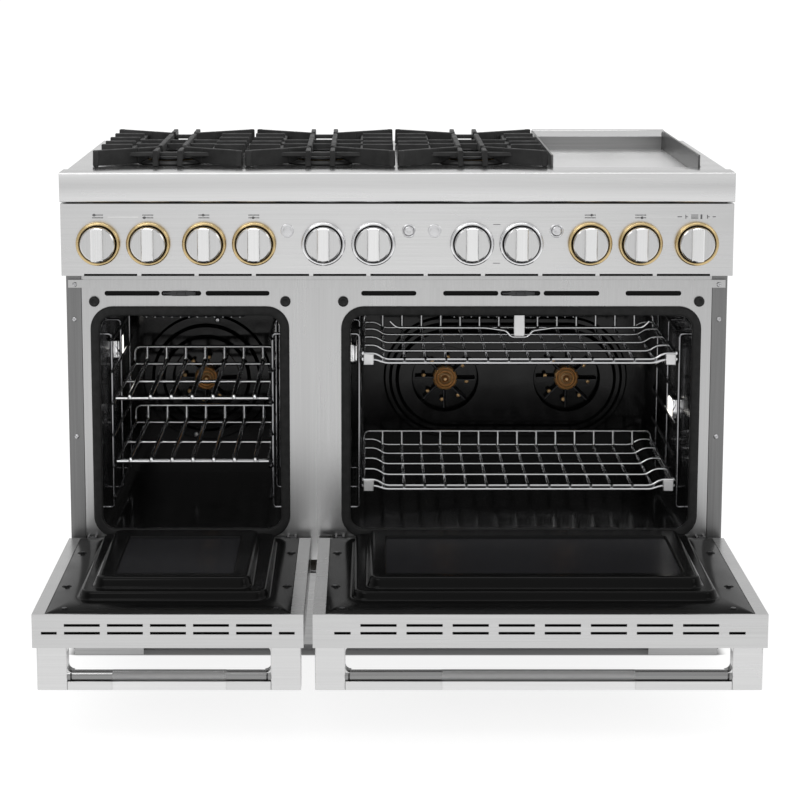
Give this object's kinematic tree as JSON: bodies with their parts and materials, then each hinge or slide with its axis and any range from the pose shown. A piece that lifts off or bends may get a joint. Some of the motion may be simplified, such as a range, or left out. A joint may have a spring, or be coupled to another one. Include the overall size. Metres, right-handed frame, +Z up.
{
  "type": "freestanding gas range",
  "caption": "Wide freestanding gas range with burners under cast grates, a griddle, a knob panel and two ovens with drop-down doors and sliding racks.",
  "frame": {"origin": "on the floor, centred in plan under the range as it stands with both doors open", "axes": "+X to the right seen from the front, +Y from the doors towards the wall, +Z up"},
  "size_m": [1.216, 1.156, 0.944],
  "materials": {
    "case_steel": "brushed stainless, satin",
    "base_steel": "plain coated steel",
    "frame_steel": "brushed stainless, satin",
    "panel_steel": "fine brushed stainless",
    "door_steel": "brushed stainless",
    "handle_steel": "satin steel",
    "oven_enamel": "glossy black enamel",
    "door_enamel": "glossy black enamel",
    "gasket": "matt woven seal",
    "bumper": "matt",
    "wool": "mineral wool board",
    "chrome_wire": "polished chrome",
    "brass_ring": "satin brass",
    "chrome_ring": "polished chrome",
    "knob_steel": "satin machined steel",
    "button_steel": "satin steel",
    "lens": "frosted",
    "cast_iron": "matt black enamel on cast iron",
    "burner_brass": "cast brass",
    "griddle_plate": "polished steel",
    "fan_steel": "heat-tinted steel",
    "glass": "dark heat glass",
    "lamp_glass": "ribbed lamp glass",
    "hinge_steel": "plated steel",
    "manifold_steel": "plated pipe"
  },
  "bodies": {
    "root": {"chassis_base": "base_steel", "kick_panel": "case_steel", "side_panel_left": "case_steel", "side_panel_right": "case_steel", "back_panel": "base_steel", "rear_trim": "case_steel", "front_frame": "frame_steel", "oven_gaskets": "gasket", "door_bumpers": "bumper", "frame_screws": "hinge_steel", "hinge_and_latch_seats": "hinge_steel", "front_rail": "panel_steel", "control_panel": "panel_steel", "knob_bezels_brass": "brass_ring", "knob_bezels_chrome": "chrome_ring", "indicator_lenses": "lens", "oven_liners": "oven_enamel", "oven_insulation": "wool", "fan_baffles": "oven_enamel", "rack_guides": "chrome_wire", "oven_burners": "oven_enamel", "oven_lamps": "lamp_glass", "cooktop_deck": "case_steel", "griddle": "griddle_plate", "burner_heads": "burner_brass", "burner_caps": "cast_iron", "gas_manifold": "manifold_steel"},
    "door_left": {"door_left_skin": "door_steel", "door_left_liner": "door_enamel", "door_left_glass": "glass", "door_left_handle": "handle_steel", "door_left_hinges": "hinge_steel"},
    "door_right": {"door_right_skin": "door_steel", "door_right_liner": "door_enamel", "door_right_glass": "glass", "door_right_handle": "handle_steel", "door_right_hinges": "hinge_steel"},
    "rack_left_upper_body": {"rack_left_upper": "chrome_wire"},
    "rack_left_lower_body": {"rack_left_lower": "chrome_wire"},
    "rack_right_upper_body": {"rack_right_upper": "chrome_wire"},
    "rack_right_lower_body": {"rack_right_lower": "chrome_wire"},
    "grate_left_body": {"grate_left": "cast_iron"},
    "grate_middle_body": {"grate_middle": "cast_iron"},
    "grate_right_body": {"grate_right": "cast_iron"},
    "fan_left_body": {"fan_left": "fan_steel"},
    "fan_middle_body": {"fan_middle": "fan_steel"},
    "fan_right_body": {"fan_right": "fan_steel"},
    "push_button_left_body": {"push_button_left": "button_steel"},
    "push_button_right_body": {"push_button_right": "button_steel"},
    "knob_01_body": {"knob_01": "knob_steel"},
    "knob_02_body": {"knob_02": "knob_steel"},
    "knob_03_body": {"knob_03": "knob_steel"},
    "knob_04_body": {"knob_04": "knob_steel"},
    "knob_05_body": {"knob_05": "knob_steel"},
    "knob_06_body": {"knob_06": "knob_steel"},
    "knob_07_body": {"knob_07": "knob_steel"},
    "knob_08_body": {"knob_08": "knob_steel"},
    "knob_09_body": {"knob_09": "knob_steel"},
    "knob_10_body": {"knob_10": "knob_steel"},
    "knob_11_body": {"knob_11": "knob_steel"}
  },
  "joints": [
    {"name": "door_left_hinge", "type": "hinge", "parent": "root", "child": "door_left", "pos_m": [-0.38, -0.081, 0.225], "axis": [1, 0, 0], "range_deg": [-90, 0]},
    {"name": "door_right_hinge", "type": "hinge", "parent": "root", "child": "door_right", "pos_m": [0.23, -0.081, 0.225], "axis": [1, 0, 0], "range_deg": [-90, 0]},
    {"name": "rack_left_upper_slide", "type": "slide", "parent": "root", "child": "rack_left_upper_body", "axis": [0, -1, 0], "range_m": [0, 0.28]},
    {"name": "rack_left_lower_slide", "type": "slide", "parent": "root", "child": "rack_left_lower_body", "axis": [0, -1, 0], "range_m": [0, 0.28]},
    {"name": "rack_right_upper_slide", "type": "slide", "parent": "root", "child": "rack_right_upper_body", "axis": [0, -1, 0], "range_m": [0, 0.28]},
    {"name": "rack_right_lower_slide", "type": "slide", "parent": "root", "child": "rack_right_lower_body", "axis": [0, -1, 0], "range_m": [0, 0.28]},
    {"name": "grate_left_lift", "type": "slide", "parent": "root", "child": "grate_left_body", "axis": [0, 0, 1], "range_m": [0, 0.12]},
    {"name": "grate_middle_lift", "type": "slide", "parent": "root", "child": "grate_middle_body", "axis": [0, 0, 1], "range_m": [0, 0.12]},
    {"name": "grate_right_lift", "type": "slide", "parent": "root", "child": "grate_right_body", "axis": [0, 0, 1], "range_m": [0, 0.12]},
    {"name": "fan_left_spin", "type": "hinge", "parent": "root", "child": "fan_left_body", "pos_m": [-0.381, 0.385, 0.445], "axis": [0, 1, 0], "continuous": true},
    {"name": "fan_middle_spin", "type": "hinge", "parent": "root", "child": "fan_middle_body", "pos_m": [0.104, 0.385, 0.445], "axis": [0, 1, 0], "continuous": true},
    {"name": "fan_right_spin", "type": "hinge", "parent": "root", "child": "fan_right_body", "pos_m": [0.351, 0.385, 0.445], "axis": [0, 1, 0], "continuous": true},
    {"name": "knob_01_turn", "type": "hinge", "parent": "root", "child": "knob_01_body", "pos_m": [-0.5395, -0.125, 0.786], "axis": [0, -1, 0], "range_deg": [0, 270]},
    {"name": "knob_02_turn", "type": "hinge", "parent": "root", "child": "knob_02_body", "pos_m": [-0.449, -0.125, 0.786], "axis": [0, -1, 0], "range_deg": [0, 270]},
    {"name": "knob_03_turn", "type": "hinge", "parent": "root", "child": "knob_03_body", "pos_m": [-0.348, -0.125, 0.786], "axis": [0, -1, 0], "range_deg": [0, 270]},
    {"name": "knob_04_turn", "type": "hinge", "parent": "root", "child": "knob_04_body", "pos_m": [-0.258, -0.125, 0.786], "axis": [0, -1, 0], "range_deg": [0, 270]},
    {"name": "knob_05_turn", "type": "hinge", "parent": "root", "child": "knob_05_body", "pos_m": [-0.133, -0.125, 0.786], "axis": [0, -1, 0], "range_deg": [0, 270]},
    {"name": "knob_06_turn", "type": "hinge", "parent": "root", "child": "knob_06_body", "pos_m": [-0.043, -0.125, 0.786], "axis": [0, -1, 0], "range_deg": [0, 270]},
    {"name": "knob_07_turn", "type": "hinge", "parent": "root", "child": "knob_07_body", "pos_m": [0.135, -0.125, 0.786], "axis": [0, -1, 0], "range_deg": [0, 270]},
    {"name": "knob_08_turn", "type": "hinge", "parent": "root", "child": "knob_08_body", "pos_m": [0.224, -0.125, 0.786], "axis": [0, -1, 0], "range_deg": [0, 270]},
    {"name": "knob_09_turn", "type": "hinge", "parent": "root", "child": "knob_09_body", "pos_m": [0.348, -0.125, 0.786], "axis": [0, -1, 0], "range_deg": [0, 270]},
    {"name": "knob_10_turn", "type": "hinge", "parent": "root", "child": "knob_10_body", "pos_m": [0.439, -0.125, 0.786], "axis": [0, -1, 0], "range_deg": [0, 270]},
    {"name": "knob_11_turn", "type": "hinge", "parent": "root", "child": "knob_11_body", "pos_m": [0.54, -0.125, 0.786], "axis": [0, -1, 0], "range_deg": [0, 270]},
    {"name": "push_button_left_press", "type": "slide", "parent": "root", "child": "push_button_left_body", "axis": [0, 1, 0], "range_m": [0, 0.0025], "stiffness_N_per_m": 400},
    {"name": "push_button_right_press", "type": "slide", "parent": "root", "child": "push_button_right_body", "axis": [0, 1, 0], "range_m": [0, 0.0025], "stiffness_N_per_m": 400}
  ]
}
